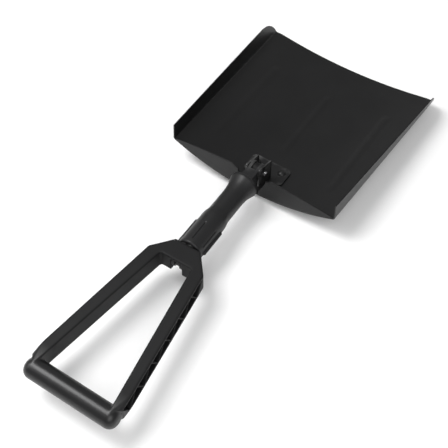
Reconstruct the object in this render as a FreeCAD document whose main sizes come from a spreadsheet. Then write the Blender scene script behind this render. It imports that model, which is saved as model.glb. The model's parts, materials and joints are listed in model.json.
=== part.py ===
import FreeCAD, Part
import math
import os

import Sketcher

# Tri-fold camp shovel, in millimetres.
#
# Layout frame used while building: X to the right, Y from the grip to the blade, Z up, with the
# origin on the handle hinge pin.  The neck axis, the middle of the handle's thickness and both
# hinge pins lie in the plane Z = 0.  Every piece is then placed in the part's own frame, whose
# origin is on the ground under the middle of the whole shovel.

doc = FreeCAD.newDocument("CampShovel")
sheet = doc.addObject("Spreadsheet::Sheet", "Sizes")

SIZES = {
    # fits
    "running": 0.05,            # radial clearance of a turning or sliding fit
    "gap": 0.3,                 # clearance between pieces that move past each other
    # neck
    "neck_length": 169.0,       # handle pin to blade pin
    "tube_radius": 8.0,
    "tube_wall": 2.0,
    "tube_nose": 10.5,          # tube's front end back from the knuckle's thread
    "pin_radius": 3.0,          # both hinge pins
    "pin_chamfer": 0.8,
    "bush_wall": 1.2,
    "rod_radius": 2.6,
    "draw_travel": 0.75,        # how far the collar draws the blade knuckle in
    # blade knuckle
    "knuckle_width": 16.0,
    "knuckle_height": 20.0,
    "knuckle_block_back": 26.5,  # blade pin back to the block's rear face
    "thread_height": 1.0,       # thread above the tube's outer face
    "thread_length": 20.0,
    "shank_length": 44.0,       # part of the knuckle that slides in the tube
    "cam_width": 7.0,
    "cam_radius": 8.6,
    "flat_depth": 0.35,         # lock flats on the cams
    "flat_share": 0.45,         # half length of a flat against its cam's radius
    "handle_cam_radius": 7.0,
    # handle tongue
    "tongue_width": 15.0,
    "tongue_shank": 30.0,
    "tongue_overlap": 1.0,      # shank carried into the tongue's block
    "roof_gap": 0.5,            # tongue below the yoke's closed top
    "roll_pin_radius": 1.6,
    "key_pin_inset": 14.0,      # tube's front end back to the key pin
    "tongue_pin_inset": 20.0,   # tube's rear end forward to the tongue's roll pin
    # collar
    "collar_back_gap": 1.6,     # yoke to collar
    "collar_front_gap": 1.5,    # collar to knuckle block
    "collar_grip_wall": 8.6,
    "collar_waist_wall": 6.6,
    "collar_bell_wall": 11.3,
    "collar_grip_length": 55.4,
    "collar_taper": 7.0,       # grip zone down to the waist
    "bell_length": 27.0,
    "bell_curve": 62.0,         # radius of the flare up to the bell
    "collar_rim": 4.0,
    "collar_chamfer": 1.5,
    "insert_wall": 1.6,
    "insert_inset": 5.0,
    "insert_length": 14.0,
    "ring_inset": 4.0,          # tube's front end back to its retaining ring
    "ring_height": 1.4,
    "ring_thickness": 1.2,
    "washer_thickness": 1.2,
    "wiper_wall": 2.4,
    "wiper_length": 3.0,
    "flute_margin": 7.0,
    "flute_width": 2.2,
    "flute_depth": 1.3,
    "flute_count": 6,
    "flute_length": 30.0,
    "fin_margin": 3.0,
    "fin_height": 2.8,
    "fin_root": 1.0,            # fin carried into the collar's wall
    "fin_width": 2.4,
    "fin_length": 41.0,
    # hinge bracket
    "plate": 2.0,
    "ear_back": 10.2,           # blade pin back to the ears' rear edges
    "ear_front": 20.5,
    "ear_top_back": 13.5,
    "ear_top_front": 3.5,
    "ear_low_back": 17.5,
    "ear_corner": 2.0,
    "foot_back": 14.0,          # blade pin forward to the foot plate's rear edge
    "foot_front": 46.0,
    "foot_half_width": 29.0,
    "foot_corner": 7.0,
    "rivet_x": 19.0,
    "rivet_y": 35.0,
    "rivet_radius": 3.0,
    "rivet_head_radius": 5.6,
    "rivet_head_height": 3.2,
    "rivet_tail_radius": 4.2,
    "seat_depth": 1.0,          # how far heads and washers follow the curved sheet
    "clip_thickness": 1.0,
    "clip_height": 1.4,
    "pin_overhang": 3.4,        # bare pin end past the washer
    "pin_washer": 1.2,
    "pin_washer_height": 2.4,
    # blade
    "blade_back": 11.6,         # blade pin back to the blade's rear edge
    "blade_length": 278.0,
    "blade_thickness": 1.5,
    "rear_width": 239.0,
    "front_width": 255.4,
    "rear_sag": 28.0,
    "front_sag": 12.5,
    "rear_drop": 32.2,          # neck axis down to the floor at the rear
    "front_drop": 40.8,
    "flange_width": 25.0,
    "flange_bend": 66.0,        # degrees from the floor's slope at the fold
    "flange_corner": 23.0,
    "wall_crest": 9.6,          # rear wall above the line between the corners
    "notch_half_width": 15.5,
    "notch_flare": 5.0,
    "bead_x": 88.0,             # outer stiffening beads from the middle
    "bead_back": 42.6,          # blade's rear edge forward to the outer beads
    "middle_bead_back": 78.6,
    "bead_front": 60.0,         # blade's front edge back to the beads
    "bead_width": 9.0,
    "bead_height": 0.8,
    # handle
    "handle_thickness": 26.6,
    "yoke_reach": 16.0,         # handle pin to the yoke's front face
    "yoke_width": 35.4,
    "wall_offset": 10.0,        # handle pin back to the opening's front wall
    "shoulder_width": 78.4,
    "shoulder_corner": 7.0,
    "opening_length": 181.0,
    "opening_front_width": 43.4,
    "opening_rear_width": 101.0,
    "opening_corner": 3.0,
    "outer_rear_width": 124.0,
    "grip_radius": 12.9,
    "grip_end_round": 10.0,
    "edge_round": 1.6,
    "yoke_web": 3.8,            # closed top of the yoke slot
    "cheek": 11.0,              # cheek thickness that the handle pin passes through
    "handle_pin_head": 3.2,
    "head_height": 2.2,         # handle pin's head and nut above the pin
    "head_chamfer": 1.0,
    "counterbore_gap": 1.0,
    "truss_count": 5,
    "truss_depth": 8.0,
    "truss_rib": 2.6,
    "truss_border": 4.0,
    "truss_start": 0.5,         # shoulder corner back to the first pocket
    "truss_end": 5.6,           # last pocket to the grip's axis
}

for row, (alias, number) in enumerate(SIZES.items(), start=1):
    sheet.set("A%d" % row, alias)
    sheet.set("B%d" % row, str(number))
    sheet.setAlias("B%d" % row, alias)
doc.recompute()


def bind(text):
    """Expression text with every alias pointed at the sheet."""
    words = []
    word = ""
    for letter in text + " ":
        if letter.isalnum() or letter in "_.":
            word += letter
            continue
        words.append("Sizes." + word if word in SIZES else word)
        words.append(letter)
        word = ""
    return "".join(words).strip()


def value(text):
    """The number that an expression over the sheet gives."""
    result = sheet.evalExpression(bind(str(text)))
    return float(getattr(result, "Value", result))


# Places along the neck, as expressions over the sheet.
BLADE_PIN = "neck_length"
GRIP_AXIS = "-(wall_offset + opening_length + grip_radius)"
REAR_END = "-(wall_offset + opening_length + 2 * grip_radius)"
FRONT_END = "(neck_length - blade_back + blade_length)"
MIDDLE = "(%s + %s) / 2" % (REAR_END, FRONT_END)
GROUND = "(front_drop + blade_thickness)"
KNUCKLE_BACK = "(neck_length - knuckle_block_back)"
CAM_BACK = "(neck_length - cam_radius)"
TUBE_START = "(yoke_reach + gap)"
TUBE_END = "(%s - thread_length - tube_nose)" % KNUCKLE_BACK
COLLAR_START = "(yoke_reach + collar_back_gap)"
COLLAR_END = "(%s - collar_front_gap)" % KNUCKLE_BACK

# Radii and heights that follow the tube, the hinge pins and the yoke.
THREAD_RADIUS = "(tube_radius + thread_height)"
RING_RADIUS = "(tube_radius + ring_height)"
GRIP_RADIUS = "(tube_radius + collar_grip_wall)"
WAIST_RADIUS = "(tube_radius + collar_waist_wall)"
BELL_RADIUS = "(tube_radius + collar_bell_wall)"
PIN_HEAD_RADIUS = "(pin_radius + head_height)"
TONGUE_HEIGHT = "(handle_thickness - 2 * yoke_web - 2 * roof_gap)"

# How far cutting shapes run past what they cut, and how closely edges are matched, in millimetres.
PAST = 1.0
CLOSE = 0.05
TIGHT = 0.001

parts = []


def keep(obj, label, along="0"):
    """Name a finished piece and place it in the part's frame, moved along the neck by `along`."""
    obj.Label = label
    obj.Placement = FreeCAD.Placement(FreeCAD.Vector(0, 0, 0), FreeCAD.Rotation())
    obj.setExpression("Placement.Base.y", bind("(%s) - (%s)" % (along, MIDDLE)))
    obj.setExpression("Placement.Base.z", bind(GROUND))
    parts.append(obj)
    return obj


# Sketch and feature helpers


def new_body(name):
    body = doc.addObject("PartDesign::Body", name + "_body")
    body.AllowCompound = True
    return body


def origin_plane(body, role):
    for item in body.Origin.OriginFeatures:
        if item.Role == role:
            return item
    raise ValueError(role)


def fix_point(sketch, geometry, end, x_text, y_text):
    """Tie one sketch point to the sheet, horizontally and vertically."""
    for kind, axis, text in (("DistanceX", -2, x_text), ("DistanceY", -1, y_text)):
        number = value(text)
        if abs(number) < 1e-9:
            sketch.addConstraint(Sketcher.Constraint("PointOnObject", geometry, end, axis))
            continue
        index = sketch.addConstraint(Sketcher.Constraint(kind, -1, 1, geometry, end, number))
        sketch.setExpression("Constraints[%d]" % index, bind(text))


def arc_between(start, end, radius, side):
    """Arc edge from start to end whose bulge is on the given side (+1 left, -1 right)."""
    chord = end - start
    half = chord.Length / 2
    left = FreeCAD.Vector(-chord.y, chord.x, 0).normalize()
    rise = radius - math.sqrt(max(radius * radius - half * half, 0))
    middle = (start + end) / 2 + left * (side * rise)
    return Part.Arc(start, middle, end)


def draw_loop(sketch, corners):
    """Closed outline.  A corner is (x, y) or (x, y, radius, side), the last two for an arc onwards."""
    points = [FreeCAD.Vector(value(c[0]), value(c[1]), 0) for c in corners]
    first = sketch.GeometryCount
    count = len(corners)
    ends = []
    for i, corner in enumerate(corners):
        start = points[i]
        end = points[(i + 1) % count]
        if len(corner) == 2:
            sketch.addGeometry(Part.LineSegment(start, end))
            ends.append((1, 2))
            continue
        arc = arc_between(start, end, value(corner[2]), corner[3])
        index = sketch.addGeometry(arc)
        placed = sketch.Geometry[index]
        forward = (placed.StartPoint - start).Length < (placed.StartPoint - end).Length
        ends.append((1, 2) if forward else (2, 1))
    for i in range(count):
        after = (i + 1) % count
        joint = Sketcher.Constraint("Coincident", first + i, ends[i][1], first + after, ends[after][0])
        sketch.addConstraint(joint)
    for i, corner in enumerate(corners):
        fix_point(sketch, first + i, ends[i][0], corner[0], corner[1])
        if len(corner) == 4:
            index = sketch.addConstraint(Sketcher.Constraint("Radius", first + i, value(corner[2])))
            sketch.setExpression("Constraints[%d]" % index, bind(corner[2]))


def draw_circle(sketch, x_text, y_text, radius_text):
    centre = FreeCAD.Vector(value(x_text), value(y_text), 0)
    up = FreeCAD.Vector(0, 0, 1)
    circle = sketch.addGeometry(Part.Circle(centre, up, value(radius_text)))
    fix_point(sketch, circle, 3, x_text, y_text)
    index = sketch.addConstraint(Sketcher.Constraint("Radius", circle, value(radius_text)))
    sketch.setExpression("Constraints[%d]" % index, bind(radius_text))


def add_sketch(body, name, plane, loops=(), circles=(), offset=None):
    sketch = body.newObject("Sketcher::SketchObject", name)
    sketch.AttachmentSupport = (origin_plane(body, plane), [""])
    sketch.MapMode = "FlatFace"
    if offset is not None:
        sketch.setExpression("AttachmentOffset.Base.z", bind(offset))
    for corners in loops:
        draw_loop(sketch, corners)
    for circle in circles:
        draw_circle(sketch, *circle)
    return sketch


def rectangle(x_low, x_high, y_low, y_high):
    return [(x_low, y_low), (x_high, y_low), (x_high, y_high), (x_low, y_high)]


def pad(body, name, sketch, length, both_sides=True, backwards=False):
    feature = body.newObject("PartDesign::Pad", name)
    feature.Profile = sketch
    feature.setExpression("Length", bind(length))
    if both_sides:
        feature.SideType = "Symmetric"
    feature.Reversed = backwards
    return feature


def pocket(body, name, sketch, length, both_sides=True, backwards=False):
    feature = body.newObject("PartDesign::Pocket", name)
    feature.Profile = sketch
    feature.setExpression("Length", bind(length))
    if both_sides:
        feature.SideType = "Symmetric"
    feature.Reversed = backwards
    return feature


def revolve(body, name, sketch, axis):
    feature = body.newObject("PartDesign::Revolution", name)
    feature.Profile = sketch
    feature.ReferenceAxis = (sketch, [axis])
    feature.Angle = 360
    return feature


def turned(label, axis, loops, along="0"):
    """A turned piece.  Loops hold (station, radius) corners about X or Y."""
    body = new_body(label)
    if axis == "X":
        sketch = add_sketch(body, label + "_profile", "XY_Plane", loops)
        revolve(body, label + "_turning", sketch, "H_Axis")
    else:
        swapped = [[(corner[1], corner[0]) + tuple(corner[2:]) for corner in loop] for loop in loops]
        sketch = add_sketch(body, label + "_profile", "XY_Plane", swapped)
        revolve(body, label + "_turning", sketch, "V_Axis")
    keep(body, label, along)
    return body


def ring(start, end, inner, outer):
    """Corners of a plain ring's half section."""
    return [(start, inner), (end, inner), (end, outer), (start, outer)]


def mirrored_ring(start, end, inner, outer):
    """A pair of rings, one each side of the middle."""
    return [ring(start, end, inner, outer), ring("-(%s)" % end, "-(%s)" % start, inner, outer)]


# Neck: tube, knuckle, tongue and the rod that locks both hinges

TUBE_BORE = "(tube_radius - tube_wall)"
KEY_PIN_Y = "(%s - key_pin_inset)" % TUBE_END
TONGUE_PIN_Y = "(%s + tongue_pin_inset)" % TUBE_START


def make_shaft_tube():
    body = new_body("shaft_tube")
    profile = [[(TUBE_BORE, TUBE_START), ("tube_radius", TUBE_START),
                ("tube_radius", TUBE_END), (TUBE_BORE, TUBE_END)]]
    revolve(body, "tube_turning", add_sketch(body, "tube_profile", "XY_Plane", profile), "V_Axis")
    # slots that let the knuckle's key pin slide but not turn
    half = "(roll_pin_radius + running)"
    slot = [rectangle("-(%s)" % half, half, "%s - %s - draw_travel - gap" % (KEY_PIN_Y, half),
                      "%s + %s + gap" % (KEY_PIN_Y, half))]
    pocket(body, "key_slots", add_sketch(body, "key_slot_outline", "XY_Plane", slot),
           "4 * tube_radius")
    # cross hole for the roll pin that holds the tongue
    hole = [("0", TONGUE_PIN_Y, "roll_pin_radius")]
    pocket(body, "roll_pin_hole", add_sketch(body, "roll_pin_end", "XY_Plane", circles=hole),
           "4 * tube_radius")
    keep(body, "shaft_tube")


def make_knuckle():
    body = new_body("blade_knuckle")
    shank = "(%s - running)" % TUBE_BORE
    start = "(%s - shank_length)" % TUBE_END
    thread_back = "(%s - thread_length)" % KNUCKLE_BACK
    profile = [[("0", start), (shank, start), (shank, thread_back), (THREAD_RADIUS, thread_back),
                (THREAD_RADIUS, KNUCKLE_BACK), ("0", KNUCKLE_BACK)]]
    revolve(body, "shank_turning", add_sketch(body, "shank_profile", "XY_Plane", profile), "V_Axis")
    block = [rectangle(KNUCKLE_BACK, BLADE_PIN, "-knuckle_height / 2", "knuckle_height / 2")]
    pad(body, "block", add_sketch(body, "block_side", "YZ_Plane", block), "knuckle_width")
    eye = [(BLADE_PIN, "0", "knuckle_height / 2")]
    pad(body, "eye", add_sketch(body, "eye_side", "YZ_Plane", circles=eye), "knuckle_width")
    fork = [rectangle("%s - gap" % CAM_BACK, "neck_length + knuckle_height",
                      "-knuckle_height", "knuckle_height")]
    pocket(body, "fork", add_sketch(body, "fork_side", "YZ_Plane", fork), "cam_width + 2 * gap")
    bush = [(BLADE_PIN, "0", "pin_radius + bush_wall")]
    pocket(body, "pin_bore", add_sketch(body, "pin_bore_side", "YZ_Plane", circles=bush),
           "2 * knuckle_width")
    rod = [("0", "0", "rod_radius + running")]
    pocket(body, "rod_bore", add_sketch(body, "rod_bore_end", "XZ_Plane", circles=rod),
           "4 * neck_length")
    key = [("0", KEY_PIN_Y, "roll_pin_radius")]
    pocket(body, "key_pin_hole", add_sketch(body, "key_pin_end", "XY_Plane", circles=key),
           "4 * tube_radius")
    keep(body, "blade_knuckle")


def make_tongue():
    body = new_body("handle_tongue")
    tip = "(%s + tongue_shank)" % TUBE_START
    root = "(%s - tongue_overlap)" % TUBE_START
    profile = [[("0", root), (TUBE_BORE, root), (TUBE_BORE, tip), ("0", tip)]]
    revolve(body, "shank_turning", add_sketch(body, "shank_profile", "XY_Plane", profile), "V_Axis")
    block = [rectangle("0", TUBE_START, "-%s / 2" % TONGUE_HEIGHT, "%s / 2" % TONGUE_HEIGHT)]
    pad(body, "block", add_sketch(body, "block_side", "YZ_Plane", block), "tongue_width")
    eye = [("0", "0", "%s / 2" % TONGUE_HEIGHT)]
    pad(body, "eye", add_sketch(body, "eye_side", "YZ_Plane", circles=eye), "tongue_width")
    fork = [rectangle("-%s" % TONGUE_HEIGHT, "handle_cam_radius + gap",
                      "-%s" % TONGUE_HEIGHT, TONGUE_HEIGHT)]
    pocket(body, "fork", add_sketch(body, "fork_side", "YZ_Plane", fork), "cam_width + 2 * gap")
    bush = [("0", "0", "pin_radius + bush_wall")]
    pocket(body, "pin_bore", add_sketch(body, "pin_bore_side", "YZ_Plane", circles=bush),
           "2 * tongue_width")
    rod = [("0", "0", "rod_radius + running")]
    pocket(body, "rod_bore", add_sketch(body, "rod_bore_end", "XZ_Plane", circles=rod),
           "4 * neck_length")
    hole = [("0", TONGUE_PIN_Y, "roll_pin_radius")]
    pocket(body, "roll_pin_hole", add_sketch(body, "roll_pin_end", "XY_Plane", circles=hole),
           "4 * tube_radius")
    keep(body, "handle_tongue")


def make_rod():
    back = "(handle_cam_radius + gap)"
    front = "(%s - draw_travel - gap)" % CAM_BACK
    turned("lock_rod", "Y", [ring(back, front, "0", "rod_radius")])


def cross_pin(label, y_text, length):
    """A roll pin standing up and down through the neck, bored for the lock rod."""
    body = new_body(label)
    circle = [("0", y_text, "roll_pin_radius")]
    pad(body, "pin", add_sketch(body, "pin_end", "XY_Plane", circles=circle), length)
    rod = [("0", "0", "rod_radius + running")]
    pocket(body, "rod_bore", add_sketch(body, "rod_bore_end", "XZ_Plane", circles=rod),
           "4 * neck_length")
    keep(body, label)


def make_cam(label, radius, along):
    """Round cam with four shallow lock flats, keyed on its hinge pin."""
    body = new_body(label)
    disc = [("0", "0", radius)]
    pad(body, "disc", add_sketch(body, "disc_side", "YZ_Plane", circles=disc), "cam_width")
    inner = "(%s - flat_depth)" % radius
    outer = "(%s + flat_depth)" % radius
    half = "(%s * flat_share)" % radius
    flats = [rectangle("-" + outer, "-" + inner, "-" + half, half),
             rectangle(inner, outer, "-" + half, half),
             rectangle("-" + half, half, inner, outer),
             rectangle("-" + half, half, "-" + outer, "-" + inner)]
    pocket(body, "flats", add_sketch(body, "flats_side", "YZ_Plane", flats), "2 * cam_width")
    bore = [("0", "0", "pin_radius")]
    pocket(body, "bore", add_sketch(body, "bore_side", "YZ_Plane", circles=bore), "2 * cam_width")
    keep(body, label, along)


def make_neck():
    make_shaft_tube()
    make_knuckle()
    make_tongue()
    make_rod()
    pin_height = "2 * (tube_radius - gap)"
    cross_pin("tongue_roll_pins", TONGUE_PIN_Y, pin_height)
    cross_pin("knuckle_key_pins", KEY_PIN_Y, pin_height)
    make_cam("blade_cam", "cam_radius", BLADE_PIN)
    make_cam("handle_cam", "handle_cam_radius", "0")
    bore = "pin_radius + running"
    outer = "pin_radius + bush_wall"
    fork = "(cam_width / 2 + gap)"
    turned("knuckle_bushes", "X", mirrored_ring(fork, "knuckle_width / 2", bore, outer), BLADE_PIN)
    turned("tongue_bushes", "X", mirrored_ring(fork, "tongue_width / 2", bore, outer))


# Collar and what it carries

RING_BACK = "(%s - ring_inset)" % TUBE_END
INSERT_FRONT = "(%s - insert_inset)" % COLLAR_END
INSERT_SEAT = "(%s + running + insert_wall)" % THREAD_RADIUS


def make_collar():
    body = new_body("locking_collar")
    bore = "(tube_radius + running)"
    chamber = "(%s + gap)" % RING_RADIUS
    wiper = "(tube_radius + wiper_wall)"
    step = "(%s - washer_thickness - running)" % RING_BACK
    insert_back = "(%s - insert_length)" % INSERT_FRONT
    wiper_end = "(%s + wiper_length)" % COLLAR_START
    grip_end = "(%s + collar_grip_length)" % COLLAR_START
    profile = [[
        (COLLAR_START, wiper), (COLLAR_START, "%s - collar_chamfer" % GRIP_RADIUS),
        ("%s + collar_chamfer" % COLLAR_START, GRIP_RADIUS),
        (grip_end, GRIP_RADIUS),
        ("%s + collar_taper" % grip_end, WAIST_RADIUS),
        ("%s - bell_length" % COLLAR_END, WAIST_RADIUS, "bell_curve", -1),
        ("%s - collar_rim" % COLLAR_END, BELL_RADIUS),
        ("%s - collar_chamfer" % COLLAR_END, BELL_RADIUS),
        (COLLAR_END, "%s - collar_chamfer" % BELL_RADIUS),
        (COLLAR_END, INSERT_SEAT), (insert_back, INSERT_SEAT), (insert_back, chamber),
        (step, chamber), (step, bore), (wiper_end, bore), (wiper_end, wiper),
    ]]
    swapped = [[(c[1], c[0]) + tuple(c[2:]) for c in loop] for loop in profile]
    revolve(body, "collar_turning", add_sketch(body, "collar_profile", "XY_Plane", swapped), "V_Axis")
    # long shallow flutes round the grip zone
    flute_floor = "(%s - flute_depth)" % GRIP_RADIUS
    flute_back = "(%s + flute_margin)" % COLLAR_START
    outline = [rectangle("-flute_width / 2", "flute_width / 2", flute_back,
                         "%s + flute_length" % flute_back)]
    sketch = add_sketch(body, "flute_outline", "XY_Plane", outline, offset=flute_floor)
    flute = pocket(body, "flute", sketch, "2 * flute_depth", both_sides=False, backwards=True)
    pattern = body.newObject("PartDesign::PolarPattern", "flutes")
    pattern.Originals = [flute]
    pattern.Axis = (origin_plane(body, "Y_Axis"), [""])
    pattern.Angle = 360
    pattern.setExpression("Occurrences", bind("flute_count"))
    body.Tip = pattern
    doc.recompute()
    # two grip fins, left and right
    fin_back = "(%s + fin_margin)" % COLLAR_START
    fin_front = "%s + fin_length" % fin_back
    root = "(%s - fin_root)" % GRIP_RADIUS
    tip = "(%s + fin_height)" % GRIP_RADIUS
    fins = [rectangle("-" + tip, "-" + root, fin_back, fin_front),
            rectangle(root, tip, fin_back, fin_front)]
    pad(body, "fins", add_sketch(body, "fin_outline", "XY_Plane", fins), "fin_width")
    keep(body, "locking_collar")


def make_collar_parts():
    make_collar()
    turned("collar_insert", "Y", [ring("%s - insert_length" % INSERT_FRONT, INSERT_FRONT,
                                       "%s + running" % THREAD_RADIUS, INSERT_SEAT)])
    turned("collar_wiper", "Y", [ring(COLLAR_START, "%s + wiper_length" % COLLAR_START,
                                      "tube_radius + running", "tube_radius + wiper_wall")])
    turned("thrust_washer", "Y", [ring("%s - washer_thickness" % RING_BACK, RING_BACK,
                                       "tube_radius + running", RING_RADIUS)])
    turned("retaining_ring", "Y", [ring(RING_BACK, "%s + ring_thickness" % RING_BACK,
                                        "tube_radius", RING_RADIUS)])


# Blade: floor, flanges, rear wall and the bracket on it


def floor_height(share, x):
    """Height of the floor's upper face, `share` of the way from its rear to its front edge."""
    drop = value("rear_drop") + share * (value("front_drop") - value("rear_drop"))
    sag = value("rear_sag") + share * (value("front_sag") - value("rear_sag"))
    half = floor_half_width(share)
    radius = (half * half + sag * sag) / (2 * sag)
    return -drop + radius - math.sqrt(radius * radius - x * x)


def floor_half_width(share):
    return (value("rear_width") + share * (value("front_width") - value("rear_width"))) / 2


def floor_slope(share):
    """Angle of the floor at its fold, in radians."""
    half = floor_half_width(share)
    sag = value("rear_sag") + share * (value("front_sag") - value("rear_sag"))
    return 2 * math.atan(sag / half)


def blade_station(share):
    return value("neck_length - blade_back") + share * value("blade_length")


def floor_arc(share, lift, half):
    """Floor line across the blade at one station, from left to right."""
    y = blade_station(share)
    ends = [FreeCAD.Vector(x, y, floor_height(share, x) + lift) for x in (-half, 0, half)]
    return Part.Arc(*ends).toShape()


def pan_section(share):
    """Closed section of floor and flanges at one station."""
    y = blade_station(share)
    half = floor_half_width(share)
    sheet_metal = value("blade_thickness")
    lean = floor_slope(share) + math.radians(value("flange_bend"))
    along = FreeCAD.Vector(math.cos(lean), 0, math.sin(lean)) * value("flange_width")
    out = FreeCAD.Vector(math.sin(lean), 0, -math.cos(lean)) * sheet_metal
    fold = FreeCAD.Vector(half, y, floor_height(share, half))
    inner_top = fold + along
    outer_top = inner_top + out
    # the outer fold lies where the two outer faces meet
    bend = math.radians(value("flange_bend"))
    slope = floor_slope(share)
    under = FreeCAD.Vector(math.sin(slope), 0, -math.cos(slope)) * sheet_metal
    outer_fold = fold + under + FreeCAD.Vector(math.cos(slope), 0, math.sin(slope)) * (
        sheet_metal * math.tan(bend / 2))

    def left(point):
        return FreeCAD.Vector(-point.x, point.y, point.z)

    def line(start, end):
        return Part.LineSegment(start, end).toShape()

    low = FreeCAD.Vector(0, y, floor_height(share, 0) - sheet_metal)
    top = FreeCAD.Vector(0, y, floor_height(share, 0))
    edges = [
        Part.Arc(left(fold), top, fold).toShape(),
        line(fold, inner_top),
        line(inner_top, outer_top),
        line(outer_top, outer_fold),
        Part.Arc(outer_fold, low, left(outer_fold)).toShape(),
        line(left(outer_fold), left(outer_top)),
        line(left(outer_top), left(inner_top)),
        line(left(inner_top), left(fold)),
    ]
    return Part.Wire(edges)


def floor_layer(low, high, half):
    """Solid that follows the floor, between two heights above it."""
    wires = []
    for share in (0.0, 1.0):
        bottom = floor_arc(share, low, half)
        top = floor_arc(share, high, half)
        bottom_ends = [bottom.valueAt(bottom.FirstParameter), bottom.valueAt(bottom.LastParameter)]
        top_ends = [top.valueAt(top.FirstParameter), top.valueAt(top.LastParameter)]
        sides = [Part.LineSegment(bottom_ends[1], top_ends[1]).toShape(),
                 Part.LineSegment(top_ends[0], bottom_ends[0]).toShape()]
        wires.append(Part.Wire([bottom, sides[0], top, sides[1]]))
    return Part.makeLoft(wires, True, True)


def notch_cutter():
    """Flared slot through the rear wall, down to the floor."""
    half = value("notch_half_width")
    flare = value("notch_flare")
    low = floor_height(0, 0)
    high = value("wall_crest") + flare
    depth = value("blade_thickness")
    y = blade_station(0) - depth
    corners = [(-half - flare, high), (-half, -half / 2), (-half + flare, low),
               (half - flare, low), (half, -half / 2), (half + flare, high)]
    points = [FreeCAD.Vector(x, y, z) for x, z in corners]
    outline = Part.makePolygon(points + [points[0]])
    return Part.Face(outline).extrude(FreeCAD.Vector(0, 3 * depth, 0))


def rim_height(share):
    """Height of the flange's inner top edge at one station."""
    lean = floor_slope(share) + math.radians(value("flange_bend"))
    return floor_height(share, floor_half_width(share)) + value("flange_width") * math.sin(lean)


def corner_cutter(side):
    """Removes the flange's front top corner, leaving a large radius that runs on from its rim."""
    radius = value("flange_corner")
    centre_y = blade_station(1) - radius
    centre_z = rim_height(1 - radius / value("blade_length")) - radius
    fold_x = floor_half_width(1)
    reach = value("flange_width")
    start = side * (fold_x - reach)
    end = side * (fold_x + reach)
    block = Part.makeBox(2 * reach, radius + PAST, 3 * radius)
    block.translate(FreeCAD.Vector(min(start, end), centre_y, centre_z))
    drum = Part.makeCylinder(radius, 4 * reach, FreeCAD.Vector(-2 * reach, 0, 0),
                             FreeCAD.Vector(1, 0, 0))
    drum.translate(FreeCAD.Vector(side * fold_x, centre_y, centre_z))
    return block.cut(drum)


def bead_outline(x, start, inset):
    """Upright prism with round ends over one bead's plan."""
    half = value("bead_width") / 2 - inset
    rear = blade_station(0) + start + inset
    front = blade_station(1) - value("bead_front") - inset
    prism = Part.makeBox(2 * half, front - rear - 2 * half, value("4 * rear_drop"))
    prism.translate(FreeCAD.Vector(x - half, rear + half, -value("2 * rear_drop")))
    ends = []
    for y in (rear + half, front - half):
        foot = FreeCAD.Vector(x, y, -value("2 * rear_drop"))
        ends.append(Part.makeCylinder(half, value("4 * rear_drop"), foot))
    return prism.fuse(ends)


def press_beads(pan):
    """Three long beads, raised above the floor and hollow below it."""
    height = value("bead_height")
    thick = value("blade_thickness")
    half = floor_half_width(0)
    crests = floor_layer(-thick / 2, height, half)
    hollows = floor_layer(-thick - height, height - thick, half)
    side = value("bead_x")
    beads = ((-side, value("bead_back")), (0, value("middle_bead_back")), (side, value("bead_back")))
    for x, start in beads:
        pan = pan.fuse(crests.common(bead_outline(x, start, 0)))
        pan = pan.cut(hollows.common(bead_outline(x, start, thick)))
    return pan


def make_blade_pan():
    pan = Part.makeLoft([pan_section(0.0), pan_section(1.0)], True, True)
    thick = value("blade_thickness")
    half = floor_half_width(0)
    corner_z = floor_height(0, half)
    left = FreeCAD.Vector(-half, blade_station(0), corner_z)
    right = FreeCAD.Vector(half, blade_station(0), corner_z)
    crest = FreeCAD.Vector(0, blade_station(0), corner_z + value("wall_crest"))
    low = FreeCAD.Vector(0, blade_station(0), floor_height(0, 0) - thick / 2)
    lens = Part.Wire([Part.Arc(left, crest, right).toShape(), Part.Arc(right, low, left).toShape()])
    wall = Part.Face(lens).extrude(FreeCAD.Vector(0, thick, 0)).cut(notch_cutter())
    pan = pan.fuse(wall).cut(corner_cutter(1)).cut(corner_cutter(-1))
    pan = press_beads(pan).removeSplitter()
    feature = doc.addObject("Part::Feature", "blade_pan_shape")
    feature.Shape = pan
    return feature


def plan_plate(x_low, x_high, y_low, y_high, corner):
    """Upright prism over a plan rectangle whose upright edges are rounded."""
    height = value("4 * rear_drop")
    plate = Part.makeBox(x_high - x_low, y_high - y_low, height,
                         FreeCAD.Vector(x_low, y_low, -height / 2))
    upright = [e for e in plate.Edges if abs(e.Length - height) < TIGHT]
    return plate.makeFillet(corner, upright)


def make_bracket():
    pin_y = value(BLADE_PIN)
    plate = value("plate")
    inner = value("knuckle_width / 2 + gap")
    foot_y = (pin_y + value("foot_back"), pin_y + value("foot_front"))
    half = value("foot_half_width")
    film = value("running")
    layer = floor_layer(film, plate + film, half + plate)
    foot = plan_plate(-half, half, foot_y[0], foot_y[1], value("foot_corner")).common(layer)
    ear = [(-value("ear_back"), -value("ear_low_back")), (-value("ear_back"), value("ear_top_back")),
           (value("ear_front"), value("ear_top_front")), (value("ear_front") + plate, -2 * half),
           (value("foot_back"), -2 * half)]
    shape = foot
    above = floor_layer(film + plate / 2, 3 * half, half)
    for side in (1, -1):
        x = inner if side > 0 else -inner - plate
        points = [FreeCAD.Vector(x, pin_y + y, z) for y, z in ear]
        blank = Part.Face(Part.makePolygon(points + [points[0]]))
        blank = blank.extrude(FreeCAD.Vector(plate, 0, 0))
        sharp = [e for e in blank.Edges
                 if abs(e.Length - plate) < TIGHT and e.CenterOfMass.z > -value("ear_low_back") - PAST]
        blank = blank.makeFillet(value("ear_corner"), sharp)
        shape = shape.fuse(blank.common(above))
    drill = Part.makeCylinder(value("pin_radius"), 4 * half, FreeCAD.Vector(-2 * half, pin_y, 0),
                              FreeCAD.Vector(1, 0, 0))
    shape = shape.cut(drill).removeSplitter()
    feature = doc.addObject("Part::Feature", "hinge_bracket_shape")
    feature.Shape = shape
    return feature


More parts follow.
